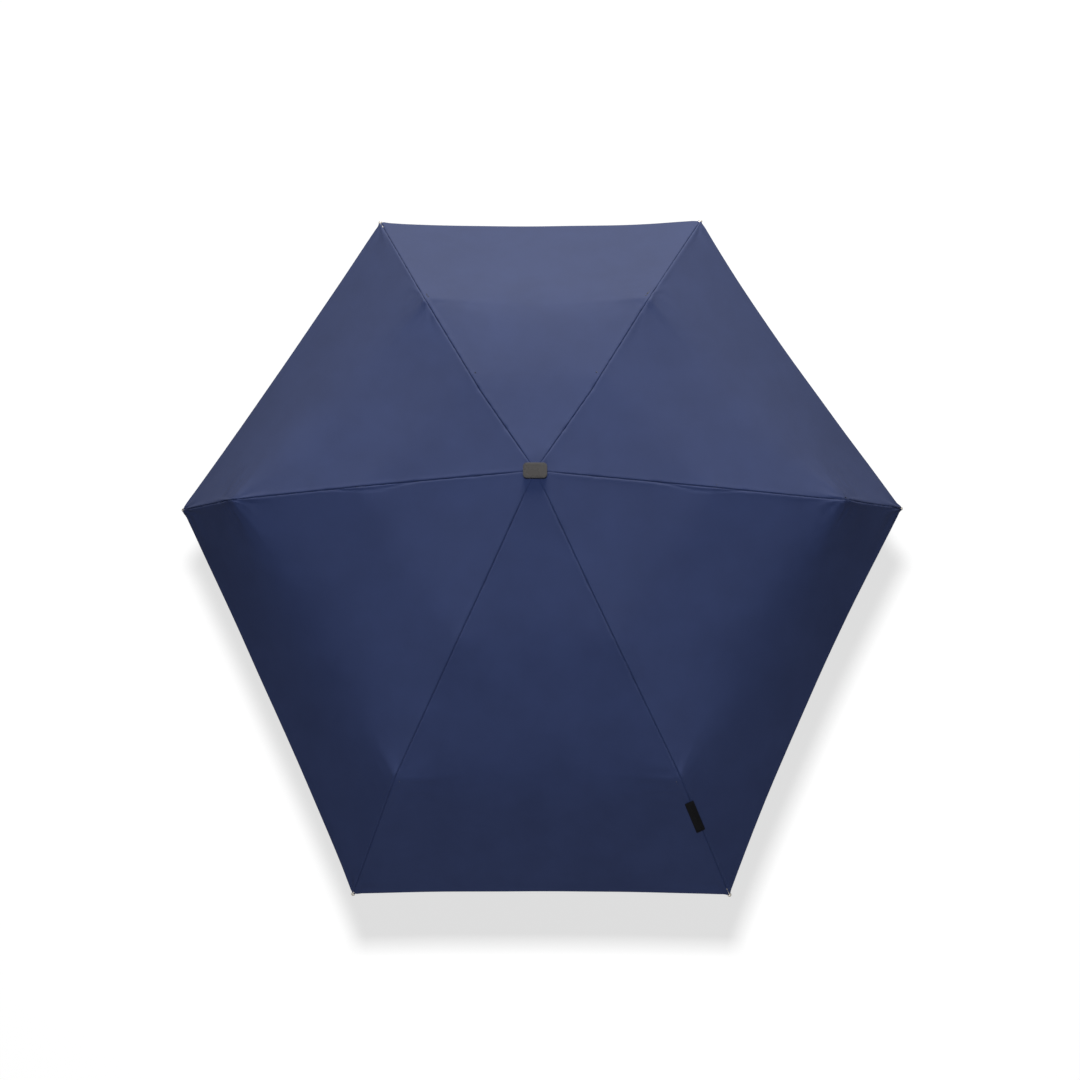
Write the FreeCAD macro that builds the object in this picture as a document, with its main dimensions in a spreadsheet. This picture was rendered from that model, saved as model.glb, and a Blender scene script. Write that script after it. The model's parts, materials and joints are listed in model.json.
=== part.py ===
import FreeCAD, Part
import math
import os

import Sketcher

# A manual folding umbrella with an off-centre, six-rib storm canopy.
# Millimetres. +Z runs up the shaft, +Y points at the short front of the canopy, +X to the right.
# The origin is the centre of the flat underside of the handle.
# The model stands open: shaft pulled out, runner up, ribs spread.

driving_dimensions = {
    # shaft: three tubes, the lowest the thinnest
    "lower_tube_radius": 4.2,
    "tube_wall": 0.5,
    "tube_clearance": 0.06,
    "lower_tube_start": 10.0,
    "lower_tube_length": 240.0,
    "mid_tube_length": 200.0,
    "top_tube_length": 209.5,
    "shaft_gap": 1.5,
    "slide_travel": 140.0,
    # handle
    "handle_height": 62.0,
    "handle_top_radius": 12.6,
    "handle_waist_radius": 13.6,
    "handle_foot_radius": 15.4,
    "handle_foot_edge": 5.0,
    "handle_waist_height": 34.0,
    "handle_shoulder_height": 52.0,
    "core_radius": 9.6,
    "core_clearance": 0.02,
    "base_cap_height": 9.0,
    "base_cap_radius": 14.2,
    "base_cap_edge": 1.5,
    "base_cap_step": 0.4,
    "lanyard_bore_radius": 1.8,
    "lanyard_bore_height": 5.0,
    # crown, whose pivot level is the zero of its own heights
    "crown_pivot_height": 552.0,
    "crown_pivot_radius": 11.0,
    "crown_radius": 13.0,
    "crown_top": 1.6,
    "crown_bottom": 2.6,
    "crown_socket_top": 1.0,
    "crown_hub_radius": 7.2,
    "crown_hub_depth": 12.0,
    "post_radius": 4.0,
    "post_top": 7.0,
    "hinge_slot_half": 0.75,
    "hinge_slot_depth": 1.95,
    "ring_wire_radius": 0.68,
    "ring_wire_clearance": 0.02,
    # cap on top of the canopy
    "cap_length": 28.0,
    "cap_width": 18.0,
    "cap_height": 6.0,
    "cap_seat": 4.4,
    "cap_corner": 5.0,
    "cap_edge": 2.4,
    # runner, whose pivot level is the zero of its own heights
    "runner_open_drop": 85.0,
    "runner_travel": 103.0,
    "runner_clearance": 0.08,
    "runner_pivot_radius": 13.5,
    "runner_flange_radius": 15.0,
    "runner_sleeve_radius": 7.6,
    "runner_top": 13.0,
    "runner_bottom": 18.0,
    "runner_collar_radius": 9.4,
    "runner_collar_height": 5.0,
    "runner_collar_slope": 1.5,
    "runner_skirt_radius": 8.4,
    "runner_flange_half": 2.6,
    "runner_flange_slope": 1.0,
    "runner_lip_radius": 7.0,
    "button_drop": 9.0,
    "button_radius": 3.0,
    "button_clearance": 0.06,
    "button_inner": 8.4,
    "button_outer": 13.2,
    "button_boss_radius": 4.2,
    "button_boss_reach": 11.4,
    "button_seat": 6.0,
    "button_edge": 1.0,
    "spring_wire_radius": 0.3,
    # how far a cut runs past the face it opens, and how far joined lengths run into each other
    "cut_margin": 1.0,
    "joint_overlap": 1.0,
    # ribs, all in the same section
    "rib_half_width": 1.6,
    "rib_half_height": 1.2,
    "rib_wall": 0.5,
    "hinge_rise": 1.7,
    "tongue_half": 0.55,
    "tongue_radius": 1.2,
    "tongue_reach": 3.0,
    "tongue_plug": 3.0,
    "crown_tongue_reach": 4.4,
    "ear_inner_half": 0.65,
    "ear_radius": 1.3,
    "ear_run": 4.0,
    "ear_slot": 2.6,
    "ear_slot_half_height": 6.0,
    "pin_radius": 0.6,
    "pin_clearance": 0.06,
    "rod_radius": 1.1,
    "ferrule_radius": 1.4,
    "ferrule_end": 16.0,
    "tip_sleeve_radius": 1.6,
    "tip_sleeve_length": 14.0,
    "tip_bead_radius": 2.5,
    "inner_slope": 8.5,
    "inner_folded_slope": 87.3,
    "front_azimuth": 31.7,
    "side_azimuth": 94.4,
    "rear_azimuth": 155.5,
    "front_inner_length": 125.0,
    "front_middle_length": 112.1,
    "front_outer_length": 169.9,
    "front_middle_slope": 14.7,
    "front_outer_slope": 42.1,
    "side_inner_length": 200.0,
    "side_middle_length": 159.4,
    "side_outer_length": 129.0,
    "side_middle_slope": 17.3,
    "side_outer_slope": 54.5,
    "rear_inner_length": 205.0,
    "rear_middle_length": 186.1,
    "rear_outer_length": 188.9,
    "rear_middle_slope": 15.5,
    "rear_outer_slope": 34.9,
    # stretchers
    "fork_inner_half": 1.85,
    "fork_outer_half": 2.45,
    "fork_half_height": 1.2,
    "fork_block_start": 4.0,
    "fork_block_end": 8.0,
    "fork_eye_radius": 1.8,
    "trunnion_radius": 0.8,
    "trunnion_half": 1.78,
    # canopy and its woven label
    "canopy_lift": 3.5,
    "canopy_thickness": 0.4,
    "canopy_hub_radius": 5.4,
    "canopy_hub_lift": 2.0,
    "label_distance": 55.0,
    "label_length": 46.0,
    "label_width": 11.0,
    "label_thickness": 0.6,
    "label_gap": 1.0,
    "label_lift": 6.2,
}

rib_names = ("front_left", "front_right", "side_right", "rear_right", "rear_left", "side_left")
tolerance = 1e-6


def family(rib):
    return rib.split("_")[0]


def azimuth_sign(rib):
    return -1 if rib.endswith("left") else 1


def azimuth_text(rib):
    return f"{azimuth_sign(rib)} * size.{family(rib)}_azimuth * 1 deg"


doc = FreeCAD.newDocument("folding_umbrella")
size = doc.addObject("Spreadsheet::Sheet", "size")
for row, (alias, number) in enumerate(driving_dimensions.items(), start=1):
    size.set(f"A{row}", alias)
    size.set(f"B{row}", str(number))
    size.setAlias(f"B{row}", alias)
doc.recompute()


def value(expression):
    result = size.evalExpression(expression)
    return float(getattr(result, "Value", result))


def cell(alias):
    return float(size.get(alias))


def add_derived(alias, number):
    row = len(driving_dimensions) + 1
    driving_dimensions[alias] = number
    size.set(f"A{row}", alias)
    size.set(f"B{row}", str(number))
    size.setAlias(f"B{row}", alias)


def stretcher_sizes():
    """Where the stretcher meets the inner rib, and its length, from the open and the folded fork."""
    offset = cell("crown_pivot_radius") - cell("runner_pivot_radius")
    open_drop = cell("runner_open_drop")
    folded_drop = open_drop + cell("runner_travel")
    open_angle = math.radians(cell("inner_slope"))
    folded_angle = math.radians(cell("inner_folded_slope"))
    open_dot = offset * math.cos(open_angle) - open_drop * math.sin(open_angle)
    folded_dot = offset * math.cos(folded_angle) - folded_drop * math.sin(folded_angle)
    reach = (folded_drop ** 2 - open_drop ** 2) / (2 * (open_dot - folded_dot))
    length = math.sqrt(reach ** 2 + 2 * reach * open_dot + offset ** 2 + open_drop ** 2)
    return reach, length


stretcher_reach, stretcher_length = stretcher_sizes()
add_derived("stretcher_reach", stretcher_reach)
add_derived("stretcher_length", stretcher_length)
doc.recompute()

nodes = []


def keep(piece, label, placement=None):
    """Gives a finished sub-part its label and its place, and puts it on the list to export."""
    piece.Label = label
    if placement is not None:
        piece.Placement = placement
    nodes.append(piece)
    return piece


def at_height(height):
    return FreeCAD.Placement(FreeCAD.Vector(0, 0, height), FreeCAD.Rotation())


# ---- sketches and PartDesign features ----

def new_body(name):
    return doc.addObject("PartDesign::Body", name)


def origin_plane(body, role):
    return next(item for item in body.Origin.OriginFeatures if item.Role == role)


def new_sketch(body, name, role, offset=0.0):
    sketch = body.newObject("Sketcher::SketchObject", name)
    sketch.AttachmentSupport = [(origin_plane(body, role), "")]
    sketch.MapMode = "FlatFace"
    sketch.AttachmentOffset = FreeCAD.Placement(FreeCAD.Vector(0, 0, offset), FreeCAD.Rotation())
    return sketch


def pin_to_sheet(sketch, direction, line, expression):
    """Holds one coordinate of a line's first point at an expression of the sheet."""
    zero_axis = {"DistanceX": -2, "DistanceY": -1}[direction]
    if expression == "0":
        sketch.addConstraint(Sketcher.Constraint("PointOnObject", line, 1, zero_axis))
        return
    index = sketch.addConstraint(Sketcher.Constraint(direction, -1, 1, line, 1, value(expression)))
    sketch.setExpression(f"Constraints[{index}]", expression)


def add_outline(sketch, corners):
    """Adds a closed outline of straight lines through corners given as expressions of the sheet."""
    points = [FreeCAD.Vector(value(x), value(y), 0) for x, y in corners]
    count = len(points)
    lines = [
        sketch.addGeometry(Part.LineSegment(points[i], points[(i + 1) % count]), False)
        for i in range(count)
    ]
    for i in range(count):
        sketch.addConstraint(Sketcher.Constraint("Coincident", lines[i], 2, lines[(i + 1) % count], 1))
    for line, (x, y) in zip(lines, corners):
        pin_to_sheet(sketch, "DistanceX", line, x)
        pin_to_sheet(sketch, "DistanceY", line, y)


def add_circle(sketch, x, y, radius):
    centre = FreeCAD.Vector(value(x), value(y), 0)
    circle = sketch.addGeometry(Part.Circle(centre, FreeCAD.Vector(0, 0, 1), value(radius)), False)
    for direction, expression, axis in (("DistanceX", x, -2), ("DistanceY", y, -1)):
        if expression == "0":
            sketch.addConstraint(Sketcher.Constraint("PointOnObject", circle, 3, axis))
        else:
            index = sketch.addConstraint(
                Sketcher.Constraint(direction, -1, 1, circle, 3, value(expression)))
            sketch.setExpression(f"Constraints[{index}]", expression)
    index = sketch.addConstraint(Sketcher.Constraint("Radius", circle, value(radius)))
    sketch.setExpression(f"Constraints[{index}]", radius)


def turned(body, name, corners):
    """A revolution about the Z axis of an outline in the XZ plane."""
    sketch = new_sketch(body, f"{name}_profile", "XZ_Plane")
    add_outline(sketch, corners)
    feature = body.newObject("PartDesign::Revolution", f"{name}_turned")
    feature.Profile = sketch
    feature.ReferenceAxis = (sketch, ["V_Axis"])
    feature.Angle = 360
    doc.recompute()
    return feature


def ring_groove(body, name, radius):
    """A round channel about the Z axis at pivot level, for the ring of hinge wire."""
    sketch = new_sketch(body, f"{name}_channel", "XZ_Plane")
    add_circle(sketch, radius, "0", "size.ring_wire_radius + size.ring_wire_clearance")
    feature = body.newObject("PartDesign::Groove", f"{name}_groove")
    feature.Profile = sketch
    feature.ReferenceAxis = (sketch, ["V_Axis"])
    feature.Angle = 360
    doc.recompute()


def slot_corners(rib, inner, outer):
    """The four corners of a radial slot at a rib's azimuth, as expressions of the sheet."""
    angle = azimuth_text(rib)
    half = "size.hinge_slot_half"
    corners = []
    for radius, side in ((inner, -1), (outer, -1), (outer, 1), (inner, 1)):
        x = f"({radius}) * sin({angle}) + {side} * {half} * cos({angle})"
        y = f"({radius}) * cos({angle}) - {side} * {half} * sin({angle})"
        corners.append((x, y))
    return corners


def hinge_slots(body, name, pivot_radius, rim_radius):
    """One slot for each rib, from behind its pivot out through the rim."""
    sketch = new_sketch(body, f"{name}_slots", "XY_Plane")
    inner = f"{pivot_radius} - size.hinge_slot_depth"
    outer = f"{rim_radius} + size.cut_margin"
    for rib in rib_names:
        add_outline(sketch, slot_corners(rib, inner, outer))
    feature = body.newObject("PartDesign::Pocket", f"{name}_slotted")
    feature.Profile = sketch
    feature.Type = "ThroughAll"
    feature.Midplane = True
    doc.recompute()


def edges_at_height(shape, height):
    names = []
    for number, edge in enumerate(shape.Edges, start=1):
        if all(abs(vertex.Point.z - height) < tolerance for vertex in edge.Vertexes):
            names.append(f"Edge{number}")
    return names


# ---- Part primitives and booleans ----

def set_place(piece, x, y, z):
    for axis, expression in (("x", x), ("y", y), ("z", z)):
        piece.setExpression(f"Placement.Base.{axis}", expression)


def box(name, x_range, y_range, z_range):
    """A box between pairs of expressions of the sheet."""
    piece = doc.addObject("Part::Box", name)
    for side, (low, high) in (("Length", x_range), ("Width", y_range), ("Height", z_range)):
        piece.setExpression(side, f"({high}) - ({low})")
    set_place(piece, x_range[0], y_range[0], z_range[0])
    return piece


def cylinder(name, radius, start, length, direction="z"):
    """A cylinder from a start point, along one axis."""
    piece = doc.addObject("Part::Cylinder", name)
    piece.setExpression("Radius", radius)
    piece.setExpression("Height", length)
    turns = {"x": FreeCAD.Rotation(FreeCAD.Vector(0, 1, 0), 90),
             "y": FreeCAD.Rotation(FreeCAD.Vector(1, 0, 0), -90),
             "z": FreeCAD.Rotation()}
    piece.Placement = FreeCAD.Placement(FreeCAD.Vector(), turns[direction])
    set_place(piece, *start)
    return piece


def cross_cylinder(name, radius, x, z, half):
    """A cylinder across a rib, centred on the rib's own plane."""
    return cylinder(name, radius, (x, f"-({half})", z), f"2 * ({half})", "y")


def fused(name, pieces):
    result = doc.addObject("Part::MultiFuse", name)
    result.Shapes = pieces
    result.Refine = True
    return result


def cut(name, base, tool):
    result = doc.addObject("Part::Cut", name)
    result.Base = base
    result.Tool = tool
    result.Refine = True
    return result


def tube(name, outer, inner, start, length):
    body = cylinder(f"{name}_outside", outer, ("0", "0", start), length)
    bore = cylinder(f"{name}_bore", inner, ("0", "0", start), length)
    return cut(name, body, bore)


# ---- shaft ----

mid_radius = "(size.lower_tube_radius + size.tube_clearance + size.tube_wall)"
top_radius = "(size.lower_tube_radius + 2 * size.tube_clearance + 2 * size.tube_wall)"
tube_foot = "(size.handle_height + size.shaft_gap)"


def make_shaft():
    lower = tube("lower_tube", "size.lower_tube_radius", "size.lower_tube_radius - size.tube_wall",
                 "size.lower_tube_start", "size.lower_tube_length")
    keep(lower, "lower_tube")
    mid = tube("mid_tube", mid_radius, f"{mid_radius} - size.tube_wall",
               f"{tube_foot} + size.slide_travel", "size.mid_tube_length")
    keep(mid, "mid_tube")
    top = tube("top_tube", top_radius, f"{top_radius} - size.tube_wall",
               f"{tube_foot} + 2 * size.slide_travel", "size.top_tube_length")
    keep(top, "top_tube")


# ---- handle ----

def make_handle():
    grip = new_body("handle_grip")
    turned(grip, "grip", [
        ("size.core_radius + size.core_clearance", "size.base_cap_height"),
        ("size.handle_foot_radius", "size.base_cap_height"),
        ("size.handle_foot_radius", "size.base_cap_height + size.handle_foot_edge"),
        ("size.handle_waist_radius", "size.handle_waist_height"),
        ("size.handle_waist_radius", "size.handle_shoulder_height"),
        ("size.handle_top_radius", "size.handle_height"),
        ("size.core_radius + size.core_clearance", "size.handle_height"),
    ])
    keep(grip, "handle_grip")
    core = new_body("handle_core")
    turned(core, "core", [
        ("0", "size.base_cap_height"),
        ("size.core_radius", "size.base_cap_height"),
        ("size.core_radius", "size.handle_height"),
        ("size.lower_tube_radius + size.core_clearance", "size.handle_height"),
        ("size.lower_tube_radius + size.core_clearance", "size.lower_tube_start"),
        ("0", "size.lower_tube_start"),
    ])
    keep(core, "handle_core")
    base = new_body("handle_base_cap")
    turned(base, "base", [
        ("0", "0"),
        ("size.base_cap_radius - size.base_cap_edge", "0"),
        ("size.base_cap_radius", "size.base_cap_edge"),
        ("size.handle_foot_radius - size.base_cap_step", "size.base_cap_height"),
        ("0", "size.base_cap_height"),
    ])
    sketch = new_sketch(base, "lanyard_circle", "YZ_Plane")
    add_circle(sketch, "0", "size.lanyard_bore_height", "size.lanyard_bore_radius")
    bore = base.newObject("PartDesign::Pocket", "lanyard_bore")
    bore.Profile = sketch
    bore.Type = "ThroughAll"
    bore.Midplane = True
    keep(base, "handle_base_cap")


# ---- crown and cap ----

def ring_wire(name, radius, height):
    ring = doc.addObject("Part::Torus", name)
    ring.setExpression("Radius1", radius)
    ring.setExpression("Radius2", "size.ring_wire_radius")
    keep(ring, name, at_height(height))


def make_crown():
    crown = new_body("crown")
    turned(crown, "crown", [
        ("0", "size.crown_socket_top"),
        (top_radius, "size.crown_socket_top"),
        (top_radius, "-size.crown_hub_depth"),
        ("size.crown_hub_radius", "-size.crown_hub_depth"),
        ("size.crown_hub_radius", "-size.crown_bottom"),
        ("size.crown_radius", "-size.crown_bottom"),
        ("size.crown_radius", "size.crown_top"),
        ("size.post_radius", "size.crown_top"),
        ("size.post_radius", "size.post_top"),
        ("0", "size.post_top"),
    ])
    hinge_slots(crown, "crown", "size.crown_pivot_radius", "size.crown_radius")
    ring_groove(crown, "crown", "size.crown_pivot_radius")
    keep(crown, "crown", at_height(cell("crown_pivot_height")))
    ring_wire("crown_wire", "size.crown_pivot_radius", cell("crown_pivot_height"))


def make_cap():
    cap = new_body("cap")
    sketch = new_sketch(cap, "cap_outline", "XY_Plane", cell("cap_seat"))
    half_length = "size.cap_length / 2"
    half_width = "size.cap_width / 2"
    add_outline(sketch, [(f"-{half_length}", f"-{half_width}"), (half_length, f"-{half_width}"),
                         (half_length, half_width), (f"-{half_length}", half_width)])
    pad = cap.newObject("PartDesign::Pad", "cap_block")
    pad.Profile = sketch
    pad.setExpression("Length", "size.cap_height")
    doc.recompute()
    upright = [f"Edge{number}" for number, edge in enumerate(pad.Shape.Edges, start=1)
               if abs(edge.Vertexes[0].Z - edge.Vertexes[1].Z) > tolerance]
    corners = cap.newObject("PartDesign::Fillet", "cap_corners")
    corners.Base = (pad, upright)
    corners.setExpression("Radius", "size.cap_corner")
    doc.recompute()
    rim = cap.newObject("PartDesign::Fillet", "cap_rim")
    rim.Base = (corners, edges_at_height(corners.Shape, cell("cap_seat") + cell("cap_height")))
    rim.setExpression("Radius", "size.cap_edge")
    doc.recompute()
    socket_sketch = new_sketch(cap, "cap_socket_circle", "XY_Plane")
    add_circle(socket_sketch, "0", "0", "size.post_radius")
    socket = cap.newObject("PartDesign::Pocket", "cap_socket")
    socket.Profile = socket_sketch
    socket.Reversed = True
    socket.setExpression("Length", "size.post_top")
    doc.recompute()
    keep(cap, "cap", at_height(cell("crown_pivot_height")))


# ---- runner and its release button ----

def make_runner():
    level = cell("crown_pivot_height") - cell("runner_open_drop")
    bore = f"{top_radius} + size.runner_clearance"
    runner = new_body("runner")
    turned(runner, "runner", [
        (bore, "-size.runner_bottom"),
        ("size.runner_collar_radius", "-size.runner_bottom"),
        ("size.runner_collar_radius", "size.runner_collar_height - size.runner_bottom"),
        ("size.runner_skirt_radius",
         "size.runner_collar_height + size.runner_collar_slope - size.runner_bottom"),
        ("size.runner_skirt_radius", "-size.runner_flange_half - size.runner_flange_slope"),
        ("size.runner_flange_radius", "-size.runner_flange_half"),
        ("size.runner_flange_radius", "size.runner_flange_half"),
        ("size.runner_sleeve_radius", "size.runner_flange_half"),
        ("size.runner_lip_radius", "size.runner_top"),
        (bore, "size.runner_top"),
    ])
    hinge_slots(runner, "runner", "size.runner_pivot_radius", "size.runner_flange_radius")
    ring_groove(runner, "runner", "size.runner_pivot_radius")
    boss_sketch = new_sketch(runner, "boss_circle", "XZ_Plane", cell("button_seat"))
    add_circle(boss_sketch, "0", "-size.button_drop", "size.button_boss_radius")
    boss = runner.newObject("PartDesign::Pad", "button_boss")
    boss.Profile = boss_sketch
    boss.setExpression("Length", "size.button_boss_reach - size.button_seat")
    doc.recompute()
    bore_sketch = new_sketch(runner, "button_bore_circle", "XZ_Plane", cell("button_seat"))
    add_circle(bore_sketch, "0", "-size.button_drop", "size.button_radius + size.button_clearance")
    hole = runner.newObject("PartDesign::Pocket", "button_bore")
    hole.Profile = bore_sketch
    hole.Reversed = True
    hole.setExpression("Length", "size.button_outer")
    doc.recompute()
    keep(runner, "runner", at_height(level))
    ring_wire("runner_wire", "size.runner_pivot_radius", level)
    button = new_body("runner_button")
    button_sketch = new_sketch(button, "button_circle", "XZ_Plane", cell("button_inner"))
    add_circle(button_sketch, "0", "-size.button_drop", "size.button_radius")
    button_pad = button.newObject("PartDesign::Pad", "button_block")
    button_pad.Profile = button_sketch
    button_pad.setExpression("Length", "size.button_outer - size.button_inner")
    doc.recompute()
    face_edge = [f"Edge{number}" for number, edge in enumerate(button_pad.Shape.Edges, start=1)
                 if edge.BoundBox.YMax < tolerance - cell("button_outer")]
    dome = button.newObject("PartDesign::Fillet", "button_dome")
    dome.Base = (button_pad, face_edge)
    dome.setExpression("Radius", "size.button_edge")
    doc.recompute()
    keep(button, "runner_button", at_height(level))
    spring = doc.addObject("Part::Torus", "button_spring")
    spring.setExpression("Radius1", "size.button_radius - 2 * size.spring_wire_radius")
    spring.setExpression("Radius2", "size.spring_wire_radius")
    spring_place = FreeCAD.Vector(0, -cell("button_seat") - cell("spring_wire_radius"),
                                  level - cell("button_drop"))
    keep(spring, "button_spring",
         FreeCAD.Placement(spring_place, FreeCAD.Rotation(FreeCAD.Vector(1, 0, 0), 90)))


# ---- ribs ----

def segment_place(origin, rib, slope):
    """Local X runs outward along the rib and tips down by the slope, local Z is its upper side."""
    azimuth = azimuth_sign(rib) * cell(f"{family(rib)}_azimuth")
    turn = FreeCAD.Rotation(FreeCAD.Vector(0, 0, 1), 90 - azimuth)
    tip_down = FreeCAD.Rotation(FreeCAD.Vector(0, 1, 0), slope)
    return FreeCAD.Placement(origin, turn.multiply(tip_down))


def rib_places(rib):
    """The places of the three segments of a rib and of its stretcher, and the far end of the rib."""
    kind = family(rib)
    azimuth = math.radians(azimuth_sign(rib) * cell(f"{kind}_azimuth"))
    outward = FreeCAD.Vector(math.sin(azimuth), math.cos(azimuth), 0)
    level = FreeCAD.Vector(0, 0, cell("crown_pivot_height"))
    rise = cell("hinge_rise")
    inner = segment_place(level + outward * cell("crown_pivot_radius"), rib, cell("inner_slope"))
    middle_start = inner.multVec(FreeCAD.Vector(cell(f"{kind}_inner_length"), 0, rise))
    middle = segment_place(middle_start, rib, cell(f"{kind}_middle_slope"))
    outer_start = middle.multVec(FreeCAD.Vector(cell(f"{kind}_middle_length"), 0, -2 * rise))
    outer = segment_place(outer_start, rib, cell(f"{kind}_outer_slope"))
    far_end = outer.multVec(FreeCAD.Vector(cell(f"{kind}_outer_length"), 0, rise))
    drop = FreeCAD.Vector(0, 0, -cell("runner_open_drop"))
    fork_start = level + drop + outward * cell("runner_pivot_radius")
    eye = inner.multVec(FreeCAD.Vector(cell("stretcher_reach"), 0, 0))
    climb = eye - fork_start
    reach = climb.dot(outward)
    stretcher = segment_place(fork_start, rib, -math.degrees(math.atan2(climb.z, reach)))
    return {"inner": inner, "middle": middle, "outer": outer, "stretcher": stretcher, "end": far_end}


half_width = "size.rib_half_width"
half_height = "size.rib_half_height"


def channel(name, start, end, level):
    """A rib section: a web on top and a flange down each side, open underneath."""
    outside = box(f"{name}_outside", (start, end), (f"-{half_width}", half_width),
                  (f"{level} - {half_height}", f"{level} + {half_height}"))
    inside = box(f"{name}_inside", (start, end),
                 (f"size.rib_wall - {half_width}", f"{half_width} - size.rib_wall"),
                 (f"{level} - {half_height}", f"{level} + {half_height} - size.rib_wall"))
    return cut(f"{name}_channel", outside, inside)


def tongue(name, level, reach, hole_radius):
    """The inner end of a segment: a flat eye round the pivot and an arm that runs into the section."""
    eye = cross_cylinder(f"{name}_eye", "size.tongue_radius", "0", "0", "size.tongue_half")
    arm_end = f"{reach} + size.tongue_plug"
    heights = (f"{level} - {half_height}", f"{level} + {half_height}")
    arm = box(f"{name}_arm", ("0", arm_end), ("-size.tongue_half", "size.tongue_half"), heights)
    plug = box(f"{name}_plug", (reach, arm_end), (f"-{half_width}", half_width), heights)
    solid = fused(f"{name}_tongue_solid", [eye, arm, plug])
    hole = cross_cylinder(f"{name}_hole", hole_radius, "0", "0", "size.tongue_half + size.cut_margin")
    return cut(f"{name}_tongue", solid, hole)


def ears(name, length, level, side):
    """The outer end of a segment: two cheeks that carry the next pivot, and the pin between them."""
    pivot = f"{level} + {side} * size.hinge_rise"
    low, high = (level, pivot) if side > 0 else (pivot, level)
    low = f"{low} - {half_height}" if side > 0 else low
    high = high if side > 0 else f"{high} + {half_height}"
    cheek = box(f"{name}_cheek", (f"{length} - size.ear_run", f"{length} + size.ear_radius"),
                (f"-{half_width}", half_width), (low, high))
    above = (f"{level} + {half_height}", f"{pivot} + size.cut_margin")
    below = (f"{pivot} - size.cut_margin", f"{level} - {half_height}")
    trim = box(f"{name}_trim",
               (f"{length} - size.ear_run - size.cut_margin", f"{length} - size.ear_radius"),
               (f"-{half_width} - size.cut_margin", f"{half_width} + size.cut_margin"),
               above if side > 0 else below)
    boss = cross_cylinder(f"{name}_boss", "size.ear_radius", length, pivot, half_width)
    solid = fused(f"{name}_ear_solid", [cut(f"{name}_cheek_cut", cheek, trim), boss])
    slot = box(f"{name}_slot",
               (f"{length} - size.ear_slot", f"{length} + size.ear_radius + size.cut_margin"),
               ("-size.ear_inner_half", "size.ear_inner_half"),
               (f"{level} - size.ear_slot_half_height", f"{level} + size.ear_slot_half_height"))
    pin = cross_cylinder(f"{name}_pin", "size.pin_radius", length, pivot, half_width)
    return [cut(f"{name}_ears", solid, slot), pin]


def make_inner_rib(rib, place):
    name = f"inner_rib_{rib}"
    length = f"size.{family(rib)}_inner_length"
    start = tongue(name, "0", "size.crown_tongue_reach", "size.ring_wire_radius + size.pin_clearance")
    section = channel(name, "size.crown_tongue_reach + size.tongue_plug", f"{length} - size.ear_slot", "0")
    trunnion = cross_cylinder(f"{name}_trunnion", "size.trunnion_radius", "size.stretcher_reach", "0",
                              "size.trunnion_half")
    keep(fused(name, [start, section, trunnion] + ears(name, length, "0", 1)), name, place)


def make_middle_rib(rib, place):
    name = f"middle_rib_{rib}"
    length = f"size.{family(rib)}_middle_length"
    level = "-size.hinge_rise"
    start = tongue(name, level, "size.tongue_reach", "size.pin_radius + size.pin_clearance")
    section = channel(name, "size.tongue_reach + size.tongue_plug", f"{length} - size.ear_slot", level)
    keep(fused(name, [start, section] + ears(name, length, level, -1)), name, place)


def make_outer_rib(rib, place):
    name = f"outer_rib_{rib}"
    length = f"size.{family(rib)}_outer_length"
    level = "size.hinge_rise"
    start = tongue(name, level, "size.tongue_reach", "size.pin_radius + size.pin_clearance")
    ferrule = cylinder(f"{name}_ferrule", "size.ferrule_radius",
                       ("size.tongue_reach + size.tongue_plug / 2", "0", level),
                       "size.ferrule_end - size.tongue_reach - size.tongue_plug / 2", "x")
    rod_start = "size.ferrule_end - size.joint_overlap"
    rod = cylinder(f"{name}_rod", "size.rod_radius", (rod_start, "0", level),
                   f"{length} - size.tip_sleeve_length / 2 - ({rod_start})", "x")
    keep(fused(name, [start, ferrule, rod]), name, place)
    make_tip(rib, length, level, place)


def make_tip(rib, length, level, place):
    name = f"rib_tip_{rib}"
    sleeve_start = f"{length} - size.tip_sleeve_length"
    sleeve = cylinder(f"{name}_sleeve", "size.tip_sleeve_radius", (sleeve_start, "0", level),
                      "size.tip_sleeve_length - size.tip_bead_radius", "x")
    bead = doc.addObject("Part::Sphere", f"{name}_bead")
    bead.setExpression("Radius", "size.tip_bead_radius")
    set_place(bead, f"{length} - size.tip_bead_radius", "0", level)
    socket = cylinder(f"{name}_socket", "size.rod_radius", (sleeve_start, "0", level),
                      "size.tip_sleeve_length / 2", "x")
    keep(cut(name, fused(f"{name}_solid", [sleeve, bead]), socket), name, place)


def make_stretcher(rib, place):
    name = f"stretcher_{rib}"
    flat = ("-size.fork_half_height", "size.fork_half_height")
    eye = cross_cylinder(f"{name}_eye", "size.tongue_radius", "0", "0", "size.tongue_half")
    arm = box(f"{name}_arm", ("0", "size.fork_block_start + size.joint_overlap"),
              ("-size.tongue_half", "size.tongue_half"), flat)
    block = box(f"{name}_block", ("size.fork_block_start", "size.fork_block_end"),
                ("-size.fork_outer_half", "size.fork_outer_half"), flat)
    hole = cross_cylinder(f"{name}_hole", "size.ring_wire_radius + size.pin_clearance", "0", "0",
                          "size.tongue_half + size.cut_margin")
    foot = cut(f"{name}_foot", fused(f"{name}_foot_solid", [eye, arm, block]), hole)
    prongs = []
    for side, (low, high) in (("left", ("size.fork_inner_half", "size.fork_outer_half")),
                              ("right", ("-size.fork_outer_half", "-size.fork_inner_half"))):
        prong = box(f"{name}_{side}_prong",
                    ("size.fork_block_end - size.joint_overlap", "size.stretcher_length"), (low, high), flat)
        pad = cylinder(f"{name}_{side}_pad", "size.fork_eye_radius", ("size.stretcher_length", low, "0"),
                       "size.fork_outer_half - size.fork_inner_half", "y")
        prongs += [prong, pad]
    keep(fused(name, [foot] + prongs), name, place)


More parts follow.
